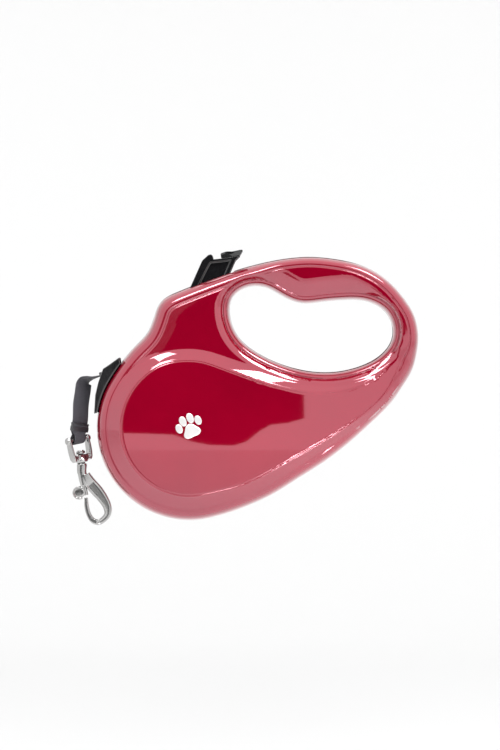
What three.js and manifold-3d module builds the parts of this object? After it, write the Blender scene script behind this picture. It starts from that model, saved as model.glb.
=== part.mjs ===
// Retractable tape leash: two-shell housing with a hand hole, a sprung tape reel with a ratchet
// brake, and a swivel snap hook hanging on the end of the tape.
// Millimetres, +Z up, +X from the tape nozzle towards the handle, -Y is the front face.
// Shapes are drawn about the reel's axle; the whole object is then shifted so that its origin is
// the middle of the grip.
import * as THREE from 'three';
import { mergeVertices } from 'three/addons/utils/BufferGeometryUtils.js';
import Module from 'manifold-3d';

const wasm = await Module();
wasm.setup();

// ---- driving dimensions -------------------------------------------------------------------
const GRIP = { x: 62, z: 76.5 };        // middle of the grip, seen from the axle
const GAP = 0.3;                        // clearance between neighbouring pieces
const WALL = 2;                         // shell wall
const BODY_HALF = 13;                   // half thickness of neck and handle
const PANEL_HALF = 18;                  // half thickness over the reel
const TAIL_DROP = 4.8;                  // how much thinner the side panel is at its tail
const DRUM_R = 48.6;                    // housing radius around the reel
const PANEL_R = 36;                     // radius of the raised side panel
const TAPE = { width: 10, thick: 0.8, wound: 40.2 };
const AXLE_R = 4;
const BORE_R = AXLE_R + 0.35;           // running fit of the reel on its axle
const HUB_R = 20.5;                     // core that the tape is wound on
const FLANGE_R = 43.8;
const FLANGE = { inner: 5.4, outer: 6.9 };
const TOOTH = { count: 24, depth: 2.8, first: 88.2, flank: 8, crest: 10.4, end: 14 };
const HUB = { half: 5.4, sleeve: 7, web: 4.2, bore: 18.5, flat: 40 };
const CUP = { r: 31, wall: 1.6, lid: 1.2, depth: 14.6, eye: 7 };    // cassette of the power spring
const CLOCK_SPRING = { turns: 5, inner: 5.2, thick: 0.7, low: 7.6, high: 12.8 };
const BRAKE_DIR = [-0.42, -0.9075];     // line along which the brake button travels
const BUTTON = { left: [1.2, 74.6], right: [21.8, 82], skirt: 5.5, half: 7 };
const PLUNGER = { top: [13.4, 75.2], low: 4.2, high: 8.2 };
const SCREW = { r: 1.2, head: 2.5, seat: 5.3, headHigh: 1.8, tip: -7.5 };
const MOUTH = [-46.6, 26.6];            // where the tape leaves the nozzle
const NOZZLE_HALF = 8.6;
const RUN_SHORT = 4;                    // the run inside the housing ends this far before the mouth
const HANG = [-0.14, -0.9902];          // direction in which the tape end hangs
const HOOK = { x: -58.3, z: -6.6 };     // pin of the swivel eye
const HOOK_LEAN = 0.197;                // lean of the hook, radians from straight down
const TAPE_TURN = 0.663;                // turn of the hanging tape out of the side plane, radians

// ---- colours ------------------------------------------------------------------------------
const RED = { color: 0x9c0a2a, roughness: 0.2, metalness: 0 };
const BLACK = { color: 0x101012, roughness: 0.35, metalness: 0 };
const NYLON = { color: 0xd8d8d2, roughness: 0.5, metalness: 0 };
const WEBBING = { color: 0x1b1b20, roughness: 0.85, metalness: 0 };
const NICKEL = { color: 0xc9cacc, roughness: 0.15, metalness: 1 };
const STEEL = { color: 0x8f9296, roughness: 0.35, metalness: 1 };

// ---- solids -------------------------------------------------------------------------------
function toSolid(geometry) {
  const bare = geometry.index ? geometry.toNonIndexed() : geometry.clone();
  bare.deleteAttribute('normal');
  bare.deleteAttribute('uv');
  const merged = mergeVertices(bare, 1e-4);
  const vertProperties = new Float32Array(merged.attributes.position.array);
  const triVerts = new Uint32Array(merged.index.array);
  return new wasm.Manifold(new wasm.Mesh({ numProp: 3, vertProperties, triVerts }));
}

function toGeometry(solid) {
  const mesh = solid.getMesh();
  const geometry = new THREE.BufferGeometry();
  geometry.setAttribute('position', new THREE.BufferAttribute(mesh.vertProperties, 3));
  geometry.setIndex(new THREE.BufferAttribute(mesh.triVerts, 1));
  return geometry;
}

// Triangles over a flat loop, turning the same way as the loop does.
function capFaces(contour) {
  const faces = THREE.ShapeUtils.triangulateShape(contour, []);
  const turn = THREE.ShapeUtils.area(contour) * THREE.ShapeUtils.area(faces[0].map((i) => contour[i]));
  return turn > 0 ? faces : faces.map(([i, j, k]) => [i, k, j]);
}

// A closed skin through rings of equal length; flat says how an end ring lies in its plane.
function loft(rings, flat = (p) => new THREE.Vector2(p.x, p.z)) {
  const count = rings[0].length;
  const corners = rings.flat().flatMap((p) => [p.x, p.y, p.z]);
  const faces = [];
  for (let r = 0; r + 1 < rings.length; r++) {
    for (let i = 0; i < count; i++) {
      const a = r * count + i;
      const b = r * count + (i + 1) % count;
      faces.push([a, b, b + count], [a, b + count, a + count]);
    }
  }
  const last = (rings.length - 1) * count;
  faces.push(...capFaces(rings[0].map(flat)).map(([i, j, k]) => [k, j, i]));
  faces.push(...capFaces(rings.at(-1).map(flat)).map((face) => face.map((i) => last + i)));
  const corner = (i) => new THREE.Vector3().fromArray(corners, 3 * i);
  const volume = faces.reduce((sum, [i, j, k]) => sum + corner(i).dot(corner(j).cross(corner(k))), 0);
  const index = faces.flatMap(([i, j, k]) => (volume > 0 ? [i, j, k] : [i, k, j]));
  const geometry = new THREE.BufferGeometry();
  geometry.setAttribute('position', new THREE.Float32BufferAttribute(corners, 3));
  geometry.setIndex(index);
  return toSolid(geometry);
}

// ---- outlines in the X-Z plane ------------------------------------------------------------
function smoothLoop(points, count) {
  const corners = points.map(([x, z]) => new THREE.Vector3(x, 0, z));
  const curve = new THREE.CatmullRomCurve3(corners, true, 'centripetal');
  return curve.getSpacedPoints(count).slice(0, count);
}

// Moves each point of an anticlockwise loop outwards; grow is a distance or a function of X.
function grown(loop, grow) {
  const count = loop.length;
  return loop.map((p, i) => {
    const along = loop[(i + 1) % count].clone().sub(loop[(i + count - 1) % count]).normalize();
    const distance = typeof grow === 'function' ? grow(p.x) : grow;
    return new THREE.Vector3(p.x + along.z * distance, 0, p.z - along.x * distance);
  });
}

// A solid through the same loop at several depths: levels are [depth, growth] pairs.
function layered(loop, levels, side) {
  return loft(levels.map(([depth, grow]) => {
    return grown(loop, grow).map((p) => p.setY(side * depth));
  }));
}

function arc(radius, fromDeg, toDeg, steps) {
  return Array.from({ length: steps + 1 }, (_, i) => {
    const angle = THREE.MathUtils.degToRad(fromDeg + (toDeg - fromDeg) * i / steps);
    return [radius * Math.cos(angle), radius * Math.sin(angle)];
  });
}

const OUTLINE = smoothLoop([
  ...arc(DRUM_R, 143, 290, 9),
  [28.5, -41.6], [42, -35.6], [56.7, -26.5], [71.2, -17.2], [83.2, -7.8], [93.6, 1.6], [103, 10.9],
  [110, 20.3], [115.6, 29.6], [118.2, 40], [118.8, 47.8], [116.6, 58.2], [111.8, 66], [106, 73],
  [98.8, 79], [88.4, 84.2], [78, 86.8], [62.4, 88.4], [49.4, 87.4], [39, 85.5], [28.1, 82.7],
  [18.2, 79.6], [9.9, 76.6], [-5.2, 70.7], [-12.5, 67.4], [-16.4, 63.6], [-18.7, 56.7],
  [-22, 48.8], [-30.2, 40.2],
], 68);

const HAND_HOLE = smoothLoop([
  [20.5, 59.8], [22.9, 50.4], [27.6, 43.9], [35.4, 38.2], [44.2, 33.8], [54.6, 30.4], [65, 28.6],
  [75.4, 28.6], [85.8, 30.7], [94.6, 34.3], [100.9, 39], [104.5, 44.2], [105.6, 49.4],
  [104.5, 55.1], [101.4, 60.3], [95.7, 64], [88.4, 66], [72.8, 65.5], [57.2, 64.2], [46.8, 68.6],
  [41.6, 71.8], [36.4, 73.3], [31.2, 73.1], [26, 71], [21.8, 67.1],
], 36);

const PANEL = smoothLoop([
  ...arc(PANEL_R, 112, 270, 8),
  [13, -33.8], [31.2, -28.6], [52, -17.2], [72.8, -5.2], [89.4, 6.2], [100.4, 16.2],
  [106.4, 26.5], [110.4, 38.6], [104.6, 34.6], [96.2, 26], [83.2, 20.3], [67.6, 18.2],
  [52, 19.8], [36.4, 23.9], [20.8, 29.6], [4, 35],
], 44);

const SEAT = alongBrake(PLUNGER.top, 19, -7.4);
const AXLE = { front: -14.6, back: 15.7 };
const AXLE_BOSS = { r: 6.4, front: 8.2, back: 14.2 };

// ---- housing shells -----------------------------------------------------------------------
const SLOPE = (x) => 6 - 4 * THREE.MathUtils.smoothstep(x, 15, 105);
const BODY_LEVELS = [[GAP / 2, 0], [8, -0.8], [11.8, -3.4], [BODY_HALF, -7]];
const HOLE_LEVELS = [[-1, 0], [8, 0.5], [BODY_HALF, 4.5], [PANEL_HALF, 9]];
const CAVITY_LEVELS = [[-1, -WALL], [8, -3], [BODY_HALF - WALL, -7]];
const HOLE_WALL_LEVELS = [[-2, WALL], [8, 2.6], [BODY_HALF, 6.6]];
const BOSS_R = 3.5;
const BOSSES = [[-9, 61], [60, 76.4], [98.3, 70.6], [110.8, 41], [62, -11], [36.6, -30.4]];

function disc(radius, low, high, side, x = 0, z = 0, segments = 16) {
  const geometry = new THREE.CylinderGeometry(radius, radius, high - low, segments);
  geometry.translate(x, side * (low + high) / 2, z);
  return toSolid(geometry);
}

function slab(points, low, high, side = 1) {
  const shape = new THREE.Shape(points.map(([x, z]) => new THREE.Vector2(x, z)));
  const geometry = new THREE.ExtrudeGeometry(shape, { depth: high - low, bevelEnabled: false });
  geometry.rotateX(Math.PI / 2);
  geometry.translate(0, side > 0 ? high : -low, 0);
  return toSolid(geometry);
}

// The raised panel is planed down from the reel towards its tail.
function raisedPanel(side) {
  const levels = [[11.5, SLOPE], [PANEL_HALF - 0.8, 0.6], [PANEL_HALF, -0.4]];
  const [from, to, beyond] = [40, 125, 30];
  const taper = [[from, PANEL_HALF], [from, beyond], [to, beyond], [to, PANEL_HALF - TAIL_DROP]];
  const section = (z) => taper.map(([x, depth]) => new THREE.Vector3(x, side * depth, z));
  const planing = loft([section(-60), section(90)], (p) => new THREE.Vector2(p.x, p.y));
  return layered(PANEL, levels, side).subtract(planing);
}

function shellCavity(side) {
  const tail = [[10, -29], [31, -24], [60, -9], [82, 5], [84, 15], [66, 14], [45, 16], [10, 27]];
  return layered(OUTLINE, CAVITY_LEVELS, side)
    .subtract(layered(HAND_HOLE, HOLE_WALL_LEVELS, side))
    .add(disc(PANEL_R - WALL, 9, PANEL_HALF - WALL, side, 0, 0, 40))
    .add(slab(tail, 9, BODY_HALF + 0.4, side));
}

// Window in the rim through which the nozzle's throat reaches the reel.
function throatBox(length, width, height, offset) {
  const box = new THREE.BoxGeometry(length, width, height);
  const [x, z] = MOUTH;
  const [dx, dz] = RUN_DIR;
  box.rotateY(-Math.atan2(-dz, -dx));
  box.translate(x - dx * offset, 0, z - dz * offset);
  return toSolid(box);
}

// A point at a distance down the brake's line of travel, and sideways from it.
function alongBrake([x, z], distance, across = 0) {
  const [dx, dz] = BRAKE_DIR;
  return [x + dx * distance - dz * across, z + dz * distance + dx * across];
}

function buttonShaft(margin, width, top, bottom) {
  const left = alongBrake(BUTTON.left, 0, -margin);
  const right = alongBrake(BUTTON.right, 0, margin);
  const loop = [alongBrake(left, bottom), alongBrake(right, bottom), alongBrake(right, top),
    alongBrake(left, top)];
  return slab(loop, -width / 2, width / 2);
}

function shell(side) {
  let solid = layered(OUTLINE, BODY_LEVELS, side).add(raisedPanel(side));
  solid = solid.subtract(shellCavity(side));
  for (const [x, z] of BOSSES) {
    solid = solid.add(disc(BOSS_R, GAP / 2, BODY_HALF - 1.5, side, x, z, 12));
  }
  solid = solid.subtract(layered(HAND_HOLE, HOLE_LEVELS, side));
  for (const [x, z] of BOSSES) {
    solid = solid.subtract(screwHole(side, x, z));
  }
  solid = solid.add(axleBoss(side));
  if (side > 0) {
    solid = solid.add(springSeat());
  }
  const blind = (side > 0 ? AXLE.back + 1.1 : -AXLE.front + 0.4);
  return solid
    .subtract(disc(AXLE_R + GAP, 0, blind, side, 0, 0, 20))
    .subtract(throatBox(20, 13.4, 5, 6))
    .subtract(buttonShaft(0.4, 2 * BUTTON.half + 0.8, -9, 12));
}

function screwHole(side, x, z) {
  if (side < 0) {
    return disc(SCREW.r + GAP, -1, 8, side, x, z, 10);
  }
  const through = disc(SCREW.r + GAP, -1, SCREW.seat, side, x, z, 10);
  return through.add(disc(SCREW.head + GAP, SCREW.seat - GAP, 20, side, x, z, 12));
}

function axleBoss(side) {
  const low = side > 0 ? AXLE_BOSS.back : AXLE_BOSS.front;
  return disc(AXLE_BOSS.r, low, PANEL_HALF - WALL + 0.5, side, 0, 0, 20);
}

// Rib inside the back shell that the brake button's spring stands on.
function springSeat() {
  const [x, z] = SEAT;
  const box = new THREE.BoxGeometry(7.4, 16, 2);
  box.rotateY(Math.atan2(-BRAKE_DIR[0], -BRAKE_DIR[1]));
  box.translate(x, 4.2, z);
  return toSolid(box);
}

// ---- tape ---------------------------------------------------------------------------------
const RUN_R = TAPE.wound + TAPE.thick / 2 + GAP;
const COIL_ANGLE = Math.atan2(MOUTH[1], MOUTH[0]) - Math.acos(RUN_R / Math.hypot(...MOUTH));
const COIL_END = [RUN_R * Math.cos(COIL_ANGLE), RUN_R * Math.sin(COIL_ANGLE)];
const RUN_LENGTH = Math.hypot(MOUTH[0] - COIL_END[0], MOUTH[1] - COIL_END[1]);
const RUN_DIR = [(MOUTH[0] - COIL_END[0]) / RUN_LENGTH, (MOUTH[1] - COIL_END[1]) / RUN_LENGTH];

// A flat band along points; turn gives the angle of its width out of the Y direction.
function band(points, turns, width, thick) {
  const rings = points.map((p, i) => {
    const ahead = points[Math.min(i + 1, points.length - 1)];
    const behind = points[Math.max(i - 1, 0)];
    const along = ahead.clone().sub(behind).normalize();
    const across = new THREE.Vector3(0, 1, 0).applyAxisAngle(along, turns[i]);
    const normal = along.clone().cross(across);
    return [[1, 1], [1, -1], [-1, -1], [-1, 1]].map(([w, t]) => {
      return p.clone().addScaledVector(across, w * width / 2).addScaledVector(normal, t * thick / 2);
    });
  });
  return loft(rings, (p) => new THREE.Vector2(p.dot(new THREE.Vector3(0.6, 0.8, 0)), p.z));
}

function tapeRun() {
  const end = RUN_LENGTH - RUN_SHORT;
  const points = [0, end / 2, end].map((d) => {
    return new THREE.Vector3(COIL_END[0] + RUN_DIR[0] * d, 0, COIL_END[1] + RUN_DIR[1] * d);
  });
  return band(points, points.map(() => 0), TAPE.width, TAPE.thick);
}

// Free tape: out of the nozzle, over one fold, then hanging down to its end clamp.
function tapeFree() {
  const inside = RUN_LENGTH - RUN_SHORT + GAP;
  const start = [COIL_END[0] + RUN_DIR[0] * inside, COIL_END[1] + RUN_DIR[1] * inside];
  const stop = PIN.clone().addScaledVector(TAPE_DOWN, -(CLAMP.low + CLAMP.high + 2 * GAP));
  const route = [start, MOUTH, [-50.6, 25.5], [-53.4, 24.4], [-55, 22.2], [-55.7, 19.2],
    [-56.6, 12.8], [stop.x, stop.z]];
  const full = Math.PI / 2 - TAPE_TURN;
  const turns = [0, 0, 0.15, 0.45, 0.8, 1, 1, 1].map((share) => share * full);
  return band(route.map(([x, z]) => new THREE.Vector3(x, 0, z)), turns, TAPE.width, TAPE.thick);
}

// ---- frames of the tape end and the hook --------------------------------------------------
const PIN = new THREE.Vector3(HOOK.x, 0, HOOK.z);
const DOWN = new THREE.Vector3(Math.sin(HOOK_LEAN), 0, -Math.cos(HOOK_LEAN));
const SIDE = new THREE.Vector3(Math.cos(HOOK_LEAN), 0, Math.sin(HOOK_LEAN));
const TAPE_DOWN = new THREE.Vector3(HANG[0], 0, HANG[1]);
const BAR = SIDE.clone().multiplyScalar(Math.cos(TAPE_TURN)).addScaledVector(
  new THREE.Vector3(0, 1, 0), Math.sin(TAPE_TURN));

// Local axes: x across the piece, y out of its plane, z up; origin on the eye's bar. Where
// across isn't square to down, the piece is skewed to follow both.
function placed(solid, down, across) {
  const up = down.clone().negate();
  const out = up.clone().cross(across).normalize();
  const matrix = new THREE.Matrix4().makeBasis(across, out, up).setPosition(PIN);
  return solid.transform(matrix.elements);
}

function box(width, depth, height, x, y, z) {
  const geometry = new THREE.BoxGeometry(width, depth, height);
  geometry.translate(x, y, z);
  return toSolid(geometry);
}

function rod(radius, low, high, x = 0, y = 0, segments = 12) {
  const geometry = new THREE.CylinderGeometry(radius, radius, high - low, segments);
  geometry.rotateX(Math.PI / 2);
  geometry.translate(x, y, (low + high) / 2);
  return toSolid(geometry);
}

function crossRod(radius, width, z, segments = 12) {
  const geometry = new THREE.CylinderGeometry(radius, radius, width, segments);
  geometry.rotateZ(Math.PI / 2);
  geometry.translate(0, 0, z);
  return toSolid(geometry);
}

const BAR_R = 1.3;
const LOOP_WIDTH = 7.2;
const CLAMP = { width: 10.5, depth: 2.9, high: 4.4, low: 4.2 };

function tapeClamp() {
  const solid = box(CLAMP.width, CLAMP.depth, CLAMP.high, 0, 0, CLAMP.low + CLAMP.high / 2);
  const across = BAR.clone().projectOnPlane(TAPE_DOWN).normalize();
  return placed(solid, TAPE_DOWN, across);
}

// Sewn end of the tape: down, round the eye's bar and up again.
function tapeLoop() {
  const inner = BAR_R + GAP;
  const outer = inner + TAPE.thick;
  const top = CLAMP.low - 1.3;
  const turn = (radius, from, to) => arc(radius, from, to, 8);
  const profile = [[outer, top], [inner, top], ...turn(inner, 0, -180), [-inner, top],
    [-outer, top], ...turn(outer, -180, 0)];
  const shape = new THREE.Shape(profile.map(([y, z]) => new THREE.Vector2(y, z)));
  const geometry = new THREE.ExtrudeGeometry(shape, { depth: LOOP_WIDTH, bevelEnabled: false });
  geometry.translate(0, 0, -LOOP_WIDTH / 2);
  geometry.rotateX(Math.PI / 2);
  geometry.rotateZ(Math.PI / 2);
  return placed(toSolid(geometry), TAPE_DOWN, BAR);
}

// ---- snap hook ----------------------------------------------------------------------------
const EYE = {
  half: 4.6, post: 2.4, depth: 3, top: 1.6, shoulder: -7.8, foot: -12.2, collar: 3.6, hole: 1.8,
};
const STEM = { top: -12.5, end: -24, r: 2.7, x: -1.4, neck: 1.5, rivet: 2.5 };
const BOLT = { r: 1.15, bore: 1.5, top: -20, tip: -29.2, knob: 3.4 };

function swivelEye() {
  const half = EYE.half + EYE.post;
  const post = (side) => {
    const x = side * (EYE.half + EYE.post / 2);
    const [low, high] = [EYE.shoulder - 1.5, EYE.top];
    return box(EYE.post, EYE.depth, high - low, x, 0, (high + low) / 2);
  };
  return crossRod(BAR_R, 2 * half - 1, 0)
    .add(post(-1))
    .add(post(1))
    .add(box(2 * half, EYE.depth, 2, 0, 0, EYE.shoulder - 1))
    .add(rod(EYE.collar, EYE.foot, EYE.shoulder - 0.5))
    .subtract(rod(EYE.hole, EYE.foot - 1, EYE.shoulder + 1));
}

// Middle line of the cast hook from the barrel round to the gate's seat, and its half widths.
const HOOK_LINE = [[0.8, -19.5], [1.4, -22], [2.4, -24.4], [4.5, -28], [6.8, -32.6], [8.2, -37.4],
  [7.6, -41], [5, -43.3], [2.2, -44.2], [-0.5, -42.9], [-2, -39.4], [-2.3, -35], [-1.7, -30.2]];
const HOOK_HALF = [2.4, 2.8, 3.1, 3.1, 2.7, 2.2, 1.8, 1.6, 1.5, 1.4, 1.3, 1.2, 1];
const HOOK_DEPTH = 3.4;

function hookShape() {
  const line = new THREE.CatmullRomCurve3(
    HOOK_LINE.map(([x, z]) => new THREE.Vector3(x, z, 0)), false, 'centripetal');
  const halves = new THREE.SplineCurve(HOOK_HALF.map((half, i) => new THREE.Vector2(i, half)));
  const steps = 3 * (HOOK_LINE.length - 1);
  const sides = [[], []];
  for (let i = 0; i <= steps; i++) {
    const at = line.getPoint(i / steps);
    const along = line.getTangent(i / steps);
    const half = halves.getPoint(i / steps).y;
    sides[0].push(new THREE.Vector2(at.x - along.y * half, at.y + along.x * half));
    sides[1].push(new THREE.Vector2(at.x + along.y * half, at.y - along.x * half));
  }
  return new THREE.Shape([...sides[0], ...sides[1].reverse()]);
}

function snapHook() {
  const cast = new THREE.ExtrudeGeometry(hookShape(), { depth: HOOK_DEPTH, bevelEnabled: false });
  cast.rotateX(Math.PI / 2);
  cast.translate(0, HOOK_DEPTH / 2, 0);
  const riveted = EYE.shoulder + GAP;
  const neck = rod(STEM.neck, STEM.top - 1, riveted + 1.6);
  const rivet = rod(STEM.rivet, riveted, riveted + 1.8);
  const slot = box(4, 2.6, 8, STEM.x - 3, 0, STEM.end + 2.6);
  return toSolid(cast)
    .add(rod(3, -16.5, STEM.top, -0.4))
    .add(rod(STEM.r, STEM.end, -14, STEM.x))
    .add(neck)
    .add(rivet)
    .subtract(rod(BOLT.bore, BOLT.tip, STEM.top - 0.9, STEM.x))
    .subtract(slot);
}

function snapBolt() {
  const middle = BOLT.tip + 1.9;
  const knob = new THREE.CylinderGeometry(BOLT.knob, BOLT.knob, 2.4, 14);
  knob.translate(STEM.x - BOLT.knob, 0, middle);
  const halfPlane = box(8, 8, 12, STEM.x + 0.9, 0, middle);
  return rod(BOLT.r, BOLT.tip, BOLT.top, STEM.x)
    .add(box(3, 1.6, 2.6, STEM.x - 2, 0, middle + 0.7))
    .add(toSolid(knob).subtract(halfPlane));
}

function coilSpring(radius, wire, turns, low, high, x) {
  const perTurn = 9;
  const steps = turns * perTurn;
  const points = Array.from({ length: steps + 1 }, (_, i) => {
    const angle = i / perTurn * 2 * Math.PI;
    const z = low + wire + (high - low - 2 * wire) * i / steps;
    return new THREE.Vector3(x + radius * Math.cos(angle), radius * Math.sin(angle), z);
  });
  const path = new THREE.CatmullRomCurve3(points);
  const section = new THREE.Shape(circle(wire, 4).map(([a, b]) => new THREE.Vector2(a, b)));
  return toSolid(new THREE.ExtrudeGeometry(section, { steps, extrudePath: path }));
}

function boltSpring() {
  return coilSpring(0.9, 0.22, 5, BOLT.top + GAP, STEM.top - 1.2, STEM.x);
}

// ---- reel ---------------------------------------------------------------------------------
function ring(outer, inner, low, high, segments = 40) {
  const shape = new THREE.Shape(outer.map(([x, z]) => new THREE.Vector2(x, z)));
  shape.holes.push(new THREE.Path(arc(inner, 360, 360 / segments, segments - 1).map(
    ([x, z]) => new THREE.Vector2(x, z))));
  const geometry = new THREE.ExtrudeGeometry(shape, { depth: high - low, bevelEnabled: false });
  geometry.rotateX(Math.PI / 2);
  geometry.translate(0, high, 0);
  return toSolid(geometry);
}

const circle = (radius, segments) => arc(radius, 0, 360 - 360 / segments, segments - 1);
const FLANGE_SCREWS = arc(12.6, 30, 270, 2);

// Saw teeth of the ratchet; the first notch lies where the brake tooth comes down.
function sawLoop() {
  const pitch = 360 / TOOTH.count;
  const root = FLANGE_R - TOOTH.depth;
  const loop = [];
  for (let i = 0; i < TOOTH.count; i++) {
    const start = TOOTH.first + i * pitch;
    loop.push(...arc(root, start, start + TOOTH.flank, 1));
    loop.push(...arc(FLANGE_R, start + TOOTH.crest, start + TOOTH.end, 1));
  }
  return loop;
}

function reelDrum() {
  const profile = [[BORE_R, -HUB.half], [HUB.sleeve, -HUB.half], [HUB.sleeve, HUB.web], [HUB.bore, HUB.web],
    [HUB.bore, -HUB.half], [HUB_R, -HUB.half], [HUB_R, FLANGE.inner], [HUB.flat, FLANGE.inner],
    [HUB.flat, FLANGE.outer], [BORE_R, FLANGE.outer]];
  const loop = [...profile, profile[0]].map(([r, y]) => new THREE.Vector2(r, y));
  let solid = toSolid(new THREE.LatheGeometry(loop, 24));
  solid = solid.add(ring(sawLoop(), HUB.flat - 1.5, FLANGE.inner, FLANGE.outer, 24));
  for (const [x, z] of FLANGE_SCREWS) {
    solid = solid.add(disc(2.8, -HUB.half, HUB.web + 0.4, 1, x, z, 10));
    solid = solid.subtract(disc(SCREW.r + GAP, -6, 2.5, 1, x, z, 10));
  }
  return solid;
}

function reelFlange() {
  let solid = ring(circle(FLANGE_R, 40), BORE_R, -FLANGE.outer, -FLANGE.inner - GAP, 20);
  for (const [x, z] of FLANGE_SCREWS) {
    solid = solid.subtract(disc(SCREW.r + GAP, -9, -4, 1, x, z, 10));
  }
  return solid;
}

function springCup() {
  const low = FLANGE.outer + GAP;
  const profile = [[CUP.r - CUP.wall, low], [CUP.r, low], [CUP.r, CUP.depth], [CUP.eye, CUP.depth],
    [CUP.eye, CUP.depth - CUP.lid], [CUP.r - CUP.wall, CUP.depth - CUP.lid]];
  const loop = [...profile, profile[0]].map(([r, y]) => new THREE.Vector2(r, y));
  return toSolid(new THREE.LatheGeometry(loop, 28));
}

function powerSpring() {
  const perTurn = 14;
  const { turns, inner, thick, low, high } = CLOCK_SPRING;
  const steps = turns * perTurn;
  const side = (offset) => Array.from({ length: steps + 1 }, (_, i) => {
    const angle = 2 * Math.PI * i / perTurn;
    const radius = inner + offset + (CUP.r - 8) * i / steps;
    return new THREE.Vector2(radius * Math.cos(angle), radius * Math.sin(angle));
  });
  const shape = new THREE.Shape([...side(0), ...side(thick).reverse()]);
  const geometry = new THREE.ExtrudeGeometry(shape, { depth: high - low, bevelEnabled: false });
  geometry.rotateX(Math.PI / 2);
  geometry.translate(0, high, 0);
  return toSolid(geometry);
}

// ---- brake --------------------------------------------------------------------------------
function brakeButton() {
  const left = alongBrake(BUTTON.left, BUTTON.skirt);
  const right = alongBrake(BUTTON.right, BUTTON.skirt + 4);
  return slab([left, right, BUTTON.right, [23.7, 86.4], [26.4, 88.9], [12, 86.8], [11.6, 89.3],
    [9.9, 89.2], [6.4, 86.3], BUTTON.left], -BUTTON.half, BUTTON.half);
}

function brakeLock() {
  return slab([[16.2, 87.8], [26.2, 89.3], [27.6, 91.8], [21.8, 91], [15.9, 90.1]], -5.5, 5.5);
}

function brakePlunger() {
  const stem = [alongBrake(PLUNGER.top, 6.2, -3), alongBrake(PLUNGER.top, 1.9, 3),
    alongBrake(PLUNGER.top, 27, 3), alongBrake(PLUNGER.top, 32.2, 0.9),
    alongBrake(PLUNGER.top, 32.2, -1.1), alongBrake(PLUNGER.top, 27, -3)];
  return slab(stem, PLUNGER.low, PLUNGER.high);
}

function buttonSpring() {
  const spring = coilSpring(2.5, 0.45, 4, 0, 7.2, 0);
  const up = new THREE.Vector3(-BRAKE_DIR[0], 0, -BRAKE_DIR[1]);
  const out = new THREE.Vector3(0, 1, 0);
  const foot = new THREE.Vector3(SEAT[0], 0, SEAT[1]).addScaledVector(up, 1.3);
  const matrix = new THREE.Matrix4().makeBasis(out.clone().cross(up), out, up).setPosition(foot);
  return spring.transform(matrix.elements);
}

// ---- nozzle -------------------------------------------------------------------------------
function nozzle() {
  const wedge = [[-49.5, 6.5], [-40, 6.5], [-32, 30], [-35.4, 36.4], [-41.6, 32.4], [-44.9, 30.2],
    [-48.9, 16.6]];
  const throat = throatBox(12, 12.8, 4.4, 5);
  return slab(wedge, -NOZZLE_HALF, NOZZLE_HALF)
    .subtract(layered(OUTLINE, [[-12, GAP], [12, GAP]], 1))
    .add(throat)
    .subtract(throatBox(40, TAPE.width + 0.8, 1.8, 3));
}

// ---- fasteners ----------------------------------------------------------------------------
function screw(x, z, seat, tip, side = 1) {
  const profile = [[0, tip], [SCREW.r, tip + 1], [SCREW.r, seat], [SCREW.head, seat],
    [SCREW.head, seat + SCREW.headHigh], [0, seat + SCREW.headHigh]];
  const geometry = new THREE.LatheGeometry(profile.map(([r, y]) => new THREE.Vector2(r, y)), 12);
  if (side < 0) {
    geometry.rotateX(Math.PI);
  }
  geometry.translate(x, 0, z);
  return toSolid(geometry);
}

function washer(low, high) {
  return ring(circle(6.2, 14), BORE_R, low, high, 14);
}

// ---- assembly -----------------------------------------------------------------------------
const leash = new THREE.Group();
leash.position.set(-GRIP.x, 0, -GRIP.z);

function add(name, solid, look) {
  const mesh = new THREE.Mesh(toGeometry(solid), new THREE.MeshStandardMaterial(look));
  mesh.name = name;
  leash.add(mesh);
}

add('front_shell', shell(-1), RED);
add('back_shell', shell(1), RED);
add('nozzle', nozzle(), BLACK);
add('reel_axle', disc(AXLE_R, AXLE.front, AXLE.back, 1, 0, 0, 20), STEEL);
add('thrust_washer_front', washer(-7.9, -7.2), NYLON);
add('thrust_washer_back', washer(13.2, 13.9), NYLON);
BOSSES.forEach(([x, z], i) => {
  add(`housing_screw_${i + 1}`, screw(x, z, SCREW.seat, SCREW.tip), STEEL);
});
add('tape_run', tapeRun(), WEBBING);

add('reel_drum', reelDrum(), BLACK);
add('reel_flange', reelFlange(), BLACK);
FLANGE_SCREWS.forEach(([x, z], i) => {
  add(`flange_screw_${i + 1}`, screw(x, z, FLANGE.outer + GAP, -2, -1), STEEL);
});
const woundHalf = FLANGE.inner - GAP;
add('wound_tape', ring(circle(TAPE.wound, 36), HUB_R + 0.6, -woundHalf, woundHalf, 24), WEBBING);
add('spring_cup', springCup(), NYLON);
add('power_spring', powerSpring(), STEEL);

add('brake_button', brakeButton(), BLACK);
add('brake_plunger', brakePlunger(), NYLON);
add('brake_lock', brakeLock(), BLACK);
add('button_spring', buttonSpring(), STEEL);

add('tape_free', tapeFree(), WEBBING);
add('tape_clamp', tapeClamp(), BLACK);
add('tape_loop', tapeLoop(), WEBBING);
add('swivel_eye', placed(swivelEye(), DOWN, BAR), NICKEL);
add('snap_hook', placed(snapHook(), DOWN, SIDE), NICKEL);
add('snap_bolt', placed(snapBolt(), DOWN, SIDE), NICKEL);
add('bolt_spring', placed(boltSpring(), DOWN, SIDE), STEEL);

export default leash;
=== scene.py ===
# Retractable tape leash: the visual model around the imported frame.
# Shapes are drawn in millimetres about the reel's axle, as the CAD is, and placed in the row frame.
import math

import bmesh
import bpy
import numpy as np
from mathutils import Matrix, Vector
from mathutils.geometry import delaunay_2d_cdt


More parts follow.
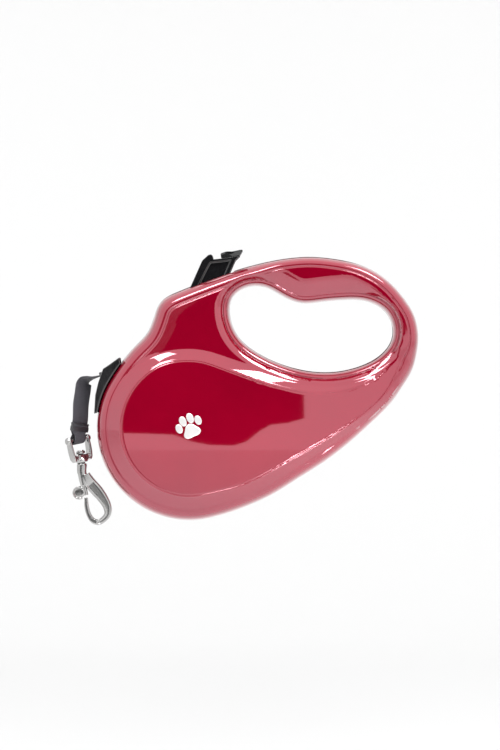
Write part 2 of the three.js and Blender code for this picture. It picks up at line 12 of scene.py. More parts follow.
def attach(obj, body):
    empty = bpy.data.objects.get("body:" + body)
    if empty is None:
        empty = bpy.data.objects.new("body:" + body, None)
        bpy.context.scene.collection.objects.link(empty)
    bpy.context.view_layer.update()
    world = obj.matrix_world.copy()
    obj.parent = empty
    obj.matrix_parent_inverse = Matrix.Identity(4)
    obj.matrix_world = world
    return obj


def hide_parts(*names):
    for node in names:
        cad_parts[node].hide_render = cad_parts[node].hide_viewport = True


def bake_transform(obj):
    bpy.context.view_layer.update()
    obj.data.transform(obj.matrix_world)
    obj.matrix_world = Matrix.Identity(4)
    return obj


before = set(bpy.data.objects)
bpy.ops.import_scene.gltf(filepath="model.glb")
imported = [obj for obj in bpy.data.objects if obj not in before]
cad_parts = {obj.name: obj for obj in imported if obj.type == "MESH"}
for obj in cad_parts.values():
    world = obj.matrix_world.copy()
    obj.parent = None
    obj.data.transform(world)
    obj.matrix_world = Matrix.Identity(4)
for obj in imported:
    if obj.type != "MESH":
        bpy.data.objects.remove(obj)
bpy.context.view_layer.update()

GRIP_X, GRIP_Z = 62.0, 76.5
MM = 0.001


def row(x, y, z):
    """A drawing point, in millimetres about the axle, as metres in the row frame."""
    return Vector(((x - GRIP_X) * MM, y * MM, (z - GRIP_Z) * MM))


def shown(name, data):
    """A new object with this mesh, lamp or camera."""
    obj = bpy.data.objects.new(name, data)
    bpy.context.collection.objects.link(obj)
    return obj


# ---- camera
AIM = (31.2, 0.0, 27.0)
LENS, SENSOR = 150.0, 36.0
FRAME_HIGH = 0.390
DISTANCE = FRAME_HIGH * LENS / SENSOR

camera_data = bpy.data.cameras.new("camera")
camera_data.lens = LENS
camera_data.sensor_width = SENSOR
camera = shown("camera", camera_data)
camera.location = row(*AIM) + Vector((0, -DISTANCE, 0))
camera.rotation_euler = (math.radians(90), 0, 0)
bpy.context.scene.camera = camera

# ---- dimensions of the drawing, as in the CAD
GAP = 0.3
BODY_HALF = 13.0
PANEL_HALF = 18.0
DRUM_R, PANEL_R = 48.6, 36.0
BRAKE = Vector((-0.42, -0.9075))
MOUTH = Vector((-46.6, 26.6))
HANG = Vector((-0.14, 0, -0.9902))
PIN = Vector((-58.3, 0, -6.6))
HOOK_LEAN, TAPE_TURN = 0.197, 0.663
HOOK_UP = Vector((-math.sin(HOOK_LEAN), 0, math.cos(HOOK_LEAN)))
SIDE = Vector((math.cos(HOOK_LEAN), 0, math.sin(HOOK_LEAN)))
BAR = SIDE * math.cos(TAPE_TURN) + Vector((0, 1, 0)) * math.sin(TAPE_TURN)
BOSSES = [(-9, 61), (60, 76.4), (98.3, 70.6), (110.8, 41), (62, -11), (36.6, -30.4)]
RUN_R = 40.2 + 0.4 + GAP


def full_turn(steps):
    """Angles spread all the way round."""
    return np.linspace(0, 2 * math.pi, steps, endpoint=False)


def arc(radius, start, stop, steps):
    angles = np.radians(np.linspace(start, stop, steps + 1))
    return [(radius * math.cos(a), radius * math.sin(a)) for a in angles]


OUTLINE_POINTS = arc(DRUM_R, 143, 290, 9) + [
    (28.5, -41.6), (42, -35.6), (56.7, -26.5), (71.2, -17.2), (83.2, -7.8), (93.6, 1.6),
    (103, 10.9), (110, 20.3), (115.6, 29.6), (118.2, 40), (118.8, 47.8), (116.6, 58.2),
    (111.8, 66), (106, 73), (98.8, 79), (88.4, 84.2), (78, 86.8), (62.4, 88.4), (49.4, 87.4),
    (39, 85.5), (28.1, 82.7), (18.2, 79.6), (9.9, 76.6), (-5.2, 70.7), (-12.5, 67.4),
    (-16.4, 63.6), (-18.7, 56.7), (-22, 48.8), (-30.2, 40.2)]
HOLE_POINTS = [
    (20.5, 59.8), (22.9, 50.4), (27.6, 43.9), (35.4, 38.2), (44.2, 33.8), (54.6, 30.4),
    (65, 28.6), (75.4, 28.6), (85.8, 30.7), (94.6, 34.3), (100.9, 39), (104.5, 44.2),
    (105.6, 49.4), (104.5, 55.1), (101.4, 60.3), (95.7, 64), (88.4, 66), (72.8, 65.5),
    (57.2, 64.2), (46.8, 68.6), (41.6, 71.8), (36.4, 73.3), (31.2, 73.1), (26, 71), (21.8, 67.1)]
PANEL_POINTS = arc(PANEL_R, 112, 270, 8) + [
    (13, -33.8), (31.2, -28.6), (52, -17.2), (72.8, -5.2), (89.4, 6.2), (100.4, 16.2),
    (106.4, 26.5), (110.4, 38.6), (104.6, 34.6), (96.2, 26), (83.2, 20.3), (67.6, 18.2),
    (52, 19.8), (36.4, 23.9), (20.8, 29.6), (4, 35)]


def spaced(points, count):
    """Points at equal distances round a closed polygon."""
    ends = np.vstack([points, points[:1]])
    at = np.concatenate([[0], np.cumsum(np.linalg.norm(np.diff(ends, axis=0), axis=1))])
    where = np.linspace(0, at[-1], count, endpoint=False)
    return np.column_stack([np.interp(where, at, ends[:, i]) for i in (0, 1)])


def curve_span(p, steps, place=3):
    """Points from p[1] up to p[2] on a centripetal Catmull-Rom curve through the four points p.

    The first place values of a point are where it is; any others only follow.
    """
    gaps = [max(1e-6, math.sqrt(np.linalg.norm(p[k + 1][:place] - p[k][:place]))) for k in range(3)]
    t = np.cumsum([0] + gaps)
    made = []
    for u in np.linspace(t[1], t[2], steps, endpoint=False):
        a = [((t[k + 1] - u) * p[k] + (u - t[k]) * p[k + 1]) / (t[k + 1] - t[k]) for k in range(3)]
        b = [((t[k + 2] - u) * a[k] + (u - t[k]) * a[k + 1]) / (t[k + 2] - t[k]) for k in range(2)]
        made.append(((t[2] - u) * b[0] + (u - t[1]) * b[1]) / (t[2] - t[1]))
    return made


LOOP_STEPS = 16         # curve points between two outline points
EVEN_PASSES = 10        # times that a loop's bends are evened out


def smooth_loop(points, count):
    """A closed smooth curve through the points, its bends evened out."""
    pts = np.array(points, float)
    made = []
    for i in range(len(pts)):
        made += curve_span([pts[(i + k) % len(pts)] for k in (-1, 0, 1, 2)], LOOP_STEPS)
    loop = spaced(np.array(made), count)
    for _ in range(EVEN_PASSES):
        loop = (np.roll(loop, 1, axis=0) + 2 * loop + np.roll(loop, -1, axis=0)) / 4
    return spaced(loop, count)


class Edge:
    """A closed loop with its distance field. A distance is positive on the loop's left, inside."""

    def __init__(self, points):
        self.points = points
        self.ahead = np.roll(points, -1, axis=0)
        self.run = self.ahead - points
        self.length = np.linalg.norm(self.run, axis=1)
        tangent = np.roll(points, -1, axis=0) - np.roll(points, 1, axis=0)
        tangent /= np.linalg.norm(tangent, axis=1)[:, None]
        self.inward = np.column_stack([-tangent[:, 1], tangent[:, 0]])

    def field(self, where):
        """Signed distance and its direction at each place."""
        distance, direction = np.empty(len(where)), np.empty((len(where), 2))
        for first in range(0, len(where), 2000):
            p = where[first:first + 2000]
            rel = p[:, None, :] - self.points[None]
            t = np.clip((rel * self.run).sum(2) / (self.length ** 2), 0, 1)
            off = rel - t[..., None] * self.run
            d2 = (off ** 2).sum(2)
            k = d2.argmin(1)
            i = np.arange(len(p))
            tk = t[i, k][:, None]
            n = self.inward[k] * (1 - tk) + self.inward[(k + 1) % len(self.points)] * tk
            n /= np.linalg.norm(n, axis=1)[:, None]
            sign = np.where((off[i, k] * n).sum(1) >= 0, 1, -1)
            distance[first:first + 2000] = sign * np.sqrt(d2[i, k])
            direction[first:first + 2000] = n
        return distance, direction

    def offset(self, inwards):
        return self.points + self.inward * inwards


OUTLINE = Edge(smooth_loop(OUTLINE_POINTS, 420))
HOLE = Edge(smooth_loop(HOLE_POINTS, 190))
PANEL = Edge(smooth_loop(PANEL_POINTS, 270))


# ---- height of the housing's outer face
def smoothstep(x, low, high):
    t = np.clip((x - low) / (high - low), 0, 1)
    return t * t * (3 - 2 * t)


def rounded(d, wide, high, power=2.3):
    """Height of a rolled edge: 0 at d 0, rising upright and levelling at high by d = wide."""
    t = 1 - np.clip(d / wide, 0, 1)
    return high * np.maximum(1 - t ** power, 0) ** (1 / power)


def softer(a, b, k, sign):
    """The larger (sign 1) or the smaller (sign -1) of two heights, blended over k."""
    t = np.clip(1 - np.abs(a - b) / k, 0, 1)
    return np.where(sign * (a - b) > 0, a, b) + sign * k * t * t / 4


def panel_height(x, z):
    """The raised panel: domed up and down, and falling towards its tail."""
    dome = 1.15 * ((z + 8) / 31) ** 2
    tail = 0.0565 * 12 * np.log1p(np.exp((x - 44) / 12))
    return PANEL_HALF - dome - tail


def dip(d, at, wide):
    """A smooth bump of height 1 round d = at."""
    return np.exp(-((d - at) / wide) ** 2)


RIM_WIDE, RIM_HIGH = 6.1, 12.35     # the rolled rim round the drum
GROOVE_AT = 6.9                     # the groove inside the rim
BEAD_WIDE = 3.3                     # the bead round the hand hole
SQUEEZE = 0.35                      # how much narrower the rim gets along the handle


def squeeze(x, z):
    """How many times narrower the rim is along the handle's top and far end."""
    return 1 + SQUEEZE * smoothstep(x, 30, 50) * smoothstep(z, 34, 44)


def rim_height(dist_out, x, z):
    """The rolled rim, the groove inside it and the flat beyond."""
    tight = squeeze(x, z)
    d = dist_out * tight
    crown = RIM_HIGH + (BODY_HALF - RIM_HIGH) * (tight - 1) / SQUEEZE
    flat = crown + (BODY_HALF - crown) * np.clip((d - 6.6) / 5.0, 0, 1)
    return np.where(d < RIM_WIDE, rounded(d, RIM_WIDE, crown), flat) - 0.45 * dip(d, GROOVE_AT, 0.42)


def hole_height(dist_hole, x, z):
    """The bead round the hand hole and the band outside it, widest at the palm."""
    palm = smoothstep(z, 48, 60) * smoothstep(x, 32, 50) * (1 - smoothstep(x, 80, 98))
    end = smoothstep(x, 93, 102) * smoothstep(z, 36, 42)
    reach, power = 5.2 + 4.2 * palm - 3.4 * end, 2.4 - 1.05 * palm
    fall = (1 - np.clip((dist_hole - BEAD_WIDE) / reach, 0, 1)) ** power
    return np.where(dist_hole < BEAD_WIDE, rounded(dist_hole, BEAD_WIDE, 9.8), 9.7 + 3.3 * (1 - fall))


def raised_height(dist_panel, x, z):
    """The raised panel with its seam, and the ramp down from it."""
    top = panel_height(x, z)
    wide = 6.9 - 4.4 * smoothstep(x, 20, 105)
    ramp = top - 0.45 + np.maximum(top - RIM_HIGH, 1.2) * (dist_panel + 0.4) / wide
    ramp = ramp - 3 * np.maximum(-dist_panel - 0.4 - 1.08 * wide, 0)
    lip = top - 0.25 + 0.25 * smoothstep(dist_panel, 0, 0.7)
    ridge = 0.3 * smoothstep(-z, -12, 4) * dip(dist_panel, 0.1, 0.34)
    return softer(ramp, lip, 0.3, -1) - (0.2 * dip(dist_panel, 0.85, 0.3) - ridge)


def height(dist_out, dist_hole, dist_panel, x, z):
    body = softer(rim_height(dist_out, x, z), hole_height(dist_hole, x, z), 0.8, -1)
    return softer(body, raised_height(dist_panel, x, z), 0.5, 1)


def fields(where):
    out, out_dir = OUTLINE.field(where)
    hole, hole_dir = HOLE.field(where)
    panel, panel_dir = PANEL.field(where)
    return (out, -hole, panel), (out_dir, -hole_dir, panel_dir)


ON_EDGE = 0.005         # a point this near the outline or the hole lies on it


def surface(where):
    """Height and unit normal (x, y, z with y outwards) of the outer face."""
    (out, hole, panel), directions = fields(where)
    out, hole = np.maximum(out, 0.8 * ON_EDGE), np.maximum(hole, 0.8 * ON_EDGE)
    x, z = where[:, 0], where[:, 1]
    args = [out, hole, panel, x, z]
    step = 0.02
    slopes = []
    for i in range(5):
        up, low = list(args), list(args)
        up[i] = args[i] + step
        low[i] = args[i] - (step if i > 1 else np.minimum(step, args[i]))
        slopes.append((height(*up) - height(*low)) / (up[i] - low[i]))
    grad = sum(slopes[i][:, None] * directions[i] for i in range(3))
    grad = grad + np.column_stack([slopes[3], slopes[4]])
    y = np.maximum(height(*args), GAP / 2)
    y[(out < ON_EDGE) | (hole < ON_EDGE)] = GAP / 2
    normal = np.column_stack([-grad[:, 0], np.ones(len(y)), -grad[:, 1]])
    return y, normal / np.linalg.norm(normal, axis=1)[:, None]


# ---- mesh helpers
def smooth_shown(name, mesh, look):
    mesh.polygons.foreach_set("use_smooth", [True] * len(mesh.polygons))
    mesh.materials.clear()
    mesh.materials.append(look.material)
    return shown(name, mesh)


def finished(name, mesh, body, slot, look, *replaced):
    """A smooth piece of the object from a mesh in the row frame; with body None it is left attached to no
    body.
    """
    obj = smooth_shown(name, mesh, look)
    if body:
        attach(obj, body)
    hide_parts(*replaced)
    return obj


def new_mesh(name, verts, faces):
    mesh = bpy.data.meshes.new(name)
    mesh.from_pydata(verts, [], faces)
    return mesh


# ---- materials
class Look:
    """A Principled material under construction."""

    def __init__(self, name, color, roughness, metallic=0.0, **sockets):
        self.material = bpy.data.materials.new(name)
        self.material.use_nodes = True
        self.nodes = self.material.node_tree.nodes
        self.links = self.material.node_tree.links
        self.shader = self.nodes["Principled BSDF"]
        self.shader.inputs["Base Color"].default_value = (*color, 1)
        self.shader.inputs["Roughness"].default_value = roughness
        self.shader.inputs["Metallic"].default_value = metallic
        for key, value in sockets.items():
            self.shader.inputs[key.replace("_", " ")].default_value = value
        self.color = color

    def node(self, kind, inputs=None, **settings):
        made = self.nodes.new(kind)
        for key, value in settings.items():
            setattr(made, key, value)
        for key, value in (inputs or {}).items():
            if isinstance(value, bpy.types.NodeSocket):
                self.links.new(value, made.inputs[key])
            else:
                made.inputs[key].default_value = value
        return made

    def place(self):
        return self.node("ShaderNodeTexCoord").outputs["Object"]

    def noise(self, scale, detail=4, roughness=0.6, place=None):
        inputs = {"Scale": scale, "Detail": detail, "Roughness": roughness,
                  "Vector": place or self.place()}
        return self.node("ShaderNodeTexNoise", inputs).outputs["Fac"]

    def span(self, value, low, high, to_low=0.0, to_high=1.0):
        inputs = {"Value": value, "From Min": low, "From Max": high, "To Min": to_low, "To Max": to_high}
        return self.node("ShaderNodeMapRange", inputs).outputs["Result"]

    def math(self, operation, a, b=0.0):
        return self.node("ShaderNodeMath", {0: a, 1: b}, operation=operation).outputs[0]

    def wave(self, angle):
        return self.math("ABSOLUTE", self.math("SINE", angle))

    def mix(self, share, a, b):
        return self.node("ShaderNodeMix", {"Factor": share, "A": a, "B": b},
                         data_type="RGBA").outputs["Result"]

    def clouded(self, value, low, high, darker, lighter):
        """Base colour between two shades of the look's own, as value goes from low to high."""
        tones = [(*shade(self.color, factor), 1) for factor in (darker, lighter)]
        self.use("Base Color", self.mix(self.span(value, low, high), *tones))

    def use(self, socket, value):
        self.links.new(value, self.shader.inputs[socket])

    def bump(self, height, strength, distance):
        before = self.shader.inputs["Normal"].links
        inputs = {"Height": height, "Strength": strength, "Distance": distance}
        if before:
            inputs["Normal"] = before[0].from_socket
        self.use("Normal", self.node("ShaderNodeBump", inputs).outputs["Normal"])


def shade(color, factor):
    return tuple(min(1, c * factor) for c in color)


def gloss_plastic(name, color, roughness, ior=1.52, level=0.5, tint=(1, 1, 1)):
    """Moulded glossy plastic: faint flow marks, orange peel and fine rub marks in the gloss."""
    look = Look(name, color, roughness, IOR=ior, Coat_Weight=1.0, Coat_Roughness=0.02,
                Specular_IOR_Level=level)
    look.shader.inputs["Specular Tint"].default_value = (*tint, 1)
    look.clouded(look.noise(38, 5, 0.55), 0.3, 0.7, 0.93, 1.06)
    rub = look.noise(900, 6, 0.75)
    look.use("Roughness", look.span(rub, 0.5, 0.85, roughness, roughness + 0.05))
    look.bump(look.noise(260, 2, 0.4), 0.15, 0.006 * MM)
    return look


def matte_plastic(name, color, roughness):
    """Spark-eroded moulded plastic with a fine grain."""
    look = Look(name, color, roughness, IOR=1.48)
    grain = look.noise(2600, 5, 0.7)
    look.clouded(look.noise(45), 0.3, 0.7, 0.85, 1.15)
    look.use("Roughness", look.span(grain, 0.3, 0.7, roughness - 0.06, roughness + 0.1))
    look.bump(grain, 0.5, 0.02 * MM)
    return look


def metal(name, color, roughness, brushed=False):
    """Plated or brushed metal with faint clouding and fine wear in the gloss."""
    look = Look(name, color, roughness, metallic=1.0)
    place = look.place()
    if brushed:
        place = look.node("ShaderNodeMapping", {"Vector": place, "Scale": (60, 60, 3)}).outputs["Vector"]
    grain = look.noise(90 if brushed else 1500, 6, 0.7, place)
    look.clouded(look.noise(70), 0.35, 0.65, 0.9, 1.05)
    look.use("Roughness", look.span(grain, 0.4, 0.75, roughness, roughness + 0.16))
    look.bump(grain, 0.3, 0.008 * MM)
    return look


RED = gloss_plastic("shell_red", (0.222, 0.0002, 0.0125), 0.03, ior=1.75, level=1.0, tint=(1, 0.4, 0.5))
BLACK = gloss_plastic("trim_black", (0.008, 0.008, 0.009), 0.08)
REEL = matte_plastic("reel_black", (0.02, 0.02, 0.022), 0.45)
CLAMP = matte_plastic("clamp_black", (0.03, 0.03, 0.034), 0.32)
NYLON = matte_plastic("nylon", (0.72, 0.71, 0.66), 0.42)
NICKEL = metal("nickel", (0.46, 0.455, 0.45), 0.14)
STEEL = metal("steel", (0.48, 0.49, 0.5), 0.28, brushed=True)
FOIL = metal("silver_foil", (0.82, 0.8, 0.8), 0.42)


WARP_PITCH, WEFT_PITCH = 0.62, 0.74


def webbing():
    """Tight woven tape. The attribute tape holds the millimetres across and along it, and the side."""
    look = Look("webbing", (0.02, 0.02, 0.024), 0.8, Sheen_Weight=0.25, Sheen_Roughness=0.5)
    place = look.node("ShaderNodeAttribute", attribute_name="tape").outputs["Vector"]
    parts = look.node("ShaderNodeSeparateXYZ", {"Vector": place}).outputs
    across = look.math("MULTIPLY", parts["X"], 2 * math.pi / WARP_PITCH)
    along = look.math("MULTIPLY", parts["Y"], 2 * math.pi / WEFT_PITCH)
    warp = look.wave(look.math("MULTIPLY", across, 0.5))
    weft = look.wave(look.math("MULTIPLY", look.math("ADD", along, across), 0.5))
    weave = look.math("MULTIPLY", warp, look.math("ADD", look.math("MULTIPLY", weft, 0.55), 0.45))
    fuzz = look.noise(1800, 4, 0.7)
    tone = look.math("MULTIPLY", weave, look.span(fuzz, 0.2, 0.8, 0.6, 1.1))
    look.use("Base Color", look.mix(tone, (0.012, 0.011, 0.015, 1), (0.075, 0.07, 0.088, 1)))
    look.use("Roughness", look.span(weave, 0, 1, 0.9, 0.62))
    look.bump(weave, 0.8, 0.12 * MM)
    look.bump(fuzz, 0.3, 0.03 * MM)
    return look


WEBBING = webbing()


# ---- tape
def smooth_line(points, steps):
    """An open smooth curve through points of any dimension, with steps between two of them."""
    pts = [np.array(p, float) for p in points]
    pts = [2 * pts[0] - pts[1]] + pts + [2 * pts[-1] - pts[-2]]
    made = []
    for i in range(1, len(pts) - 2):
        made += curve_span(pts[i - 1:i + 3], steps)
    made.append(pts[-2])
    return np.array(made)


COIL_ANGLE = math.atan2(MOUTH.y, MOUTH.x) - math.acos(RUN_R / MOUTH.length)
COIL_END = Vector((RUN_R * math.cos(COIL_ANGLE), RUN_R * math.sin(COIL_ANGLE)))
RUN = (MOUTH - COIL_END).normalized()
TAPE_WIDE, TAPE_THICK, LOOP_WIDE = 10.0, 0.8, 7.2
UP = -HANG
CLAMP_ACROSS = (BAR - HANG * BAR.dot(HANG)).normalized()
OUT = UP.cross(CLAMP_ACROSS).normalized()


def tube_faces(rings, sides):
    """The faces of a closed tube whose points go ring by ring."""
    faces = []
    for i in range(rings - 1):
        for k in range(sides):
            a, b = i * sides + k, i * sides + (k + 1) % sides
            faces.append((a, b, b + sides, a + sides))
    return faces + [tuple(range(sides))[::-1], tuple(range((rings - 1) * sides, rings * sides))]


def band(centres, acrosses, widths, name, body, replaced):
    """Woven tape along centres, each with its width's direction; returns the piece."""
    columns = 16
    verts, places = [], []
    along_mm = 0.0
    count = len(centres)
    for i, centre in enumerate(centres):
        ahead, behind = centres[min(i + 1, count - 1)], centres[max(i - 1, 0)]
        along = (ahead - behind).normalized()
        normal = along.cross(acrosses[i]).normalized()
        if i:
            along_mm += (centre - centres[i - 1]).length
        for side in (1, -1):
            for k in range(columns + 1):
                u = side * (1 - 2 * k / columns)
                if side < 0 and k in (0, columns):
                    continue
                selvedge = 1 + 0.12 * dip(abs(u), 0.9, 0.06)
                thick = TAPE_THICK / 2 * (1 - abs(u) ** 9) ** 0.5 * selvedge
                verts.append(centre + acrosses[i] * (u * widths[i] / 2) + normal * (side * thick))
                places.append((u * TAPE_WIDE / 2, along_mm, side))
    mesh = new_mesh(name, [row(*v) for v in verts], tube_faces(count, 2 * columns))
    obj = finished(name, mesh, body, "webbing", WEBBING, *replaced)
    attribute = obj.data.attributes.new("tape", "FLOAT_VECTOR", "POINT")
    attribute.data.foreach_set("vector", np.array(places, np.float32).ravel())
    return obj


INSIDE = 8.0
FULL_TURN = math.pi / 2 - TAPE_TURN
CLAMP_TOP, CLAMP_LOW = 8.6, 4.2
EYE_BAR_R = 1.3


def tape_route():
    """Control rows of the free tape: centre, width's direction and width."""
    flat = [(*(MOUTH - RUN * INSIDE), 0), (*(MOUTH - RUN * 3), 0), (*MOUTH, 0), (-50.6, 25.5, 0.12),
            (-53.2, 24.8, 0.38), (-54.7, 23.9, 0.7), (-55.2, 22.6, 0.93),
            (-55.5, 20.4, 1), (-55.9, 17.4, 1), (-56.7, 11.8, 1)]
    rows = []
    for i, (x, z, share) in enumerate(flat):
        ahead, behind = flat[min(i + 1, len(flat) - 1)], flat[max(i - 1, 0)]
        along = Vector((ahead[0] - behind[0], 0, ahead[1] - behind[1])).normalized()
        across = Matrix.Rotation(share * FULL_TURN, 3, along) @ Vector((0, 1, 0))
        rows.append((x, 0, z, *across, TAPE_WIDE))
    near = [(CLAMP_TOP + 1.5, 0.3, 0, TAPE_WIDE), (6.4, 0.48, 0, TAPE_WIDE), (CLAMP_LOW, 0.6, 0.3, 9.4),
            (3.0, 1.2, 0.8, LOOP_WIDE), (1.5, 1.9, 1, LOOP_WIDE)]
    radius = EYE_BAR_R + GAP + TAPE_THICK / 2
    circle = [(up, out, 1, LOOP_WIDE) for up, out in arc(radius, 90, 270, 6)]
    back = [(1.5, -1.9, 1, LOOP_WIDE), (3.0, -1.2, 0.8, LOOP_WIDE), (CLAMP_LOW, -0.6, 0.3, 9.4),
            (7.6, -0.48, 0, TAPE_WIDE)]
    for up, out, share, wide in near + circle + back:
        across = CLAMP_ACROSS.lerp(BAR, share).normalized()
        rows.append((*(PIN + UP * up + OUT * out), *across, wide))
    return smooth_line(rows, 6)


route = tape_route()
tape_centres = [Vector(r[:3]) for r in route]
tape_acrosses = [Vector(r[3:6]).normalized() for r in route]
tape = band(tape_centres, tape_acrosses, [r[6] for r in route], "tape", None, ["tape_free", "tape_loop"])
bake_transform(tape)

RUN_STEPS = 12
inner_run = [Vector((COIL_END.x + RUN.x * d, 0, COIL_END.y + RUN.y * d))
             for d in np.linspace(0, (MOUTH - COIL_END).length - INSIDE - GAP, RUN_STEPS)]
band(inner_run, [Vector((0, 1, 0))] * RUN_STEPS, [TAPE_WIDE] * RUN_STEPS, "tape_inside", "housing",
     ["tape_run"])


# ---- housing shells
WALL = 2.0
EDGE_STEPS = (0.03, 0.1, 0.25, 0.5, 0.8, 1.2, 1.7)      # rows of points close to an edge
RIM_STEPS = EDGE_STEPS + (2.4, 3.2, 4.2, 5.3, RIM_WIDE, 6.4, 6.65, GROOVE_AT, 7.15, 7.4, 8.0, 9.6, 11.4)
HOLE_STEPS = EDGE_STEPS + (2.3, 2.9, BEAD_WIDE, 3.6, 4.1, 4.8, 5.6, 6.6, 7.8, 9.2, 10.6, 12.0, 12.8, 13.4)
PANEL_STEPS = (-6.4, -5.6, -4.4, -3, -1.9, -1.2, -0.7, -0.4, -0.15, 0.1, 0.35, 0.6, 0.85, 1.1, 1.4, 1.9,
               2.6, 3.6)
SIDE_CUTS = (((0.8, 74.4), (22.4, 82.2), 0.72), ((-47.2, 24.0), (-45.6, 29.2), 0.62))
SCREW_R = 2.8           # the well of a housing screw
PITCH = 2.0             # of the points on the flatter ground
NEAREST = 0.32          # points closer than this are thinned out


def rim_inset(points):
    """How far the shell's edge stands back at the button's well and the tape's window."""
    inset = np.zeros(len(points))
    for start, end, depth in SIDE_CUTS:
        line, rel = np.subtract(end, start), points - start
        t = rel @ line / (line @ line)
        off = np.linalg.norm(rel - t[:, None] * line, axis=1)
        inset[(t > 0) & (t < 1) & (off < 4)] = depth
    return inset


def ground(inset, circles):
    """Points all over a shell's face, closest along its edges, grooves and seams."""
    squeezed = OUTLINE.inward / squeeze(*OUTLINE.points.T)[:, None]
    rows = [(OUTLINE.points + squeezed * d)[inset < d / (1 + SQUEEZE) - 0.02] for d in RIM_STEPS]
    rows += [HOLE.offset(-d) for d in HOLE_STEPS] + [PANEL.offset(d) for d in PANEL_STEPS]
    xs, zs = np.meshgrid(np.arange(-52, 122, PITCH), np.arange(-52, 92, PITCH * 0.87))
    xs = xs + (np.arange(len(xs)) % 2)[:, None] * PITCH / 2
    grid = np.column_stack([xs.ravel(), zs.ravel()])
    (out, hole, panel), _ = fields(grid)
    rows.append(grid[(out > 7.6) & (hole > 9.6) & ((panel > 4) | (panel < -7))])
    points = np.vstack(rows)
    (out, hole, panel), _ = fields(points)
    keep = (out > 0.02) & (hole > 0.02)
    for c in circles:
        keep &= np.hypot(*(points - c.mean(axis=0)).T) > SCREW_R + 0.4
    points, out, hole, panel = points[keep], out[keep], hole[keep], panel[keep]
    _, first = np.unique(np.round(points / NEAREST).astype(int), axis=0, return_index=True)
    chosen = (out < 1.0) | (hole < 1.0) | (np.abs(panel - 0.4) < 1.2)
    chosen |= np.abs(out * squeeze(*points.T) - GROOVE_AT) < 0.55
    chosen[first] = True
    return points[chosen]


def flat_mesh(circles):
    """Points and triangles of a shell's face, seen from the front."""
    inset = rim_inset(OUTLINE.points)
    rim = OUTLINE.points + OUTLINE.inward * inset[:, None]
    loops = [rim, HOLE.points[::-1]] + [c[::-1] for c in circles]
    points = np.vstack(loops + [ground(inset, circles)])
    edges, base = [], 0
    for loop in loops:
        n = len(loop)
        edges += [(base + i, base + (i + 1) % n) for i in range(n)]
        base += n
    made = delaunay_2d_cdt([Vector(p) for p in points], edges, [], 0, 1e-5)
    flat = np.array([tuple(v) for v in made[0]])
    tris = np.array([f for f in made[2] if len(f) == 3])
    middle = flat[tris].mean(axis=1)
    inside = (Edge(rim).field(middle)[0] > 0) & (HOLE.field(middle)[0] < 0)
    for c in circles:
        inside &= np.hypot(*(middle - c.mean(axis=0)).T) > SCREW_R * 0.97
    tris = tris[inside]
    a, b, c = flat[tris[:, 0]], flat[tris[:, 1]], flat[tris[:, 2]]
    turn = (b[:, 0] - a[:, 0]) * (c[:, 1] - a[:, 1]) - (b[:, 1] - a[:, 1]) * (c[:, 0] - a[:, 0])
    tris[turn < 0] = tris[turn < 0][:, ::-1]
    used, again = np.unique(tris, return_inverse=True)
    return flat[used], again.reshape(-1, 3)


def boundary(tris):
    """Directed edges with a triangle on one side only."""
    edges = np.vstack([tris[:, [0, 1]], tris[:, [1, 2]], tris[:, [2, 0]]])
    there = {(a, b) for a, b in edges.tolist()}
    return [(a, b) for a, b in there if (b, a) not in there]


class Skin:
    """Verts, faces and the normal of each face corner, for one shell."""

    def __init__(self):
        self.verts, self.faces, self.normals = [], [], []

    def add(self, verts, faces, normals=None):
        base = len(self.verts)
        self.verts += [Vector(v) for v in verts]
        for n, face in enumerate(faces):
            self.faces.append([base + i for i in face])
            if normals is None:
                a, b, c = (Vector(verts[i]) for i in face[:3])
                self.normals.append([(b - a).cross(c - a).normalized()] * len(face))
            else:
                self.normals.append([Vector(normals[i]) for i in face])


def turned_rings(skin, x, z, profile, steps=20):
    """A turned piece about a line along Y through (x, z); profile is [radius, y] pairs."""
    verts, faces, normals = [], [], []
    angles = full_turn(steps)
    for (r0, y0), (r1, y1) in zip(profile, profile[1:]):
        base = len(verts)
        nr, ny = y1 - y0, r0 - r1
        size = math.hypot(nr, ny) or 1
        for r, y in ((r0, y0), (r1, y1)):
            verts += [(x + r * math.cos(a), y, z + r * math.sin(a)) for a in angles]
            normals += [(nr / size * math.cos(a), ny / size, nr / size * math.sin(a)) for a in angles]
        for i in range(steps):
            j = (i + 1) % steps
            faces.append((base + i, base + steps + i, base + steps + j, base + j))
    skin.add(verts, faces, normals)


TONGUE_IN = 1.0
TONGUE_LOW, TONGUE_HIGH = -GAP / 2 - 0.1, GAP / 2 - 0.01


def tongue(skin, loop):
    """A thin strip that closes the parting line, left out at the button's well and the tape's window."""
    there = rim_inset(loop) == 0
    there &= np.roll(there, -1)
    for p, q in zip(loop[there], np.roll(loop, -1, axis=0)[there]):
        low_edge = [(p[0], TONGUE_LOW, p[1]), (q[0], TONGUE_LOW, q[1])]
        skin.add(low_edge + [(q[0], TONGUE_HIGH, q[1]), (p[0], TONGUE_HIGH, p[1])], [(0, 1, 2, 3)])


BOSS_R, BORE_R = 3.5, 1.5       # of a screw boss and of the hole in it
BOSS_FOOT = 0.15                # where a boss meets the parting line
HEAD_SEAT = 5.0                 # where a screw's head rests, in the back shell


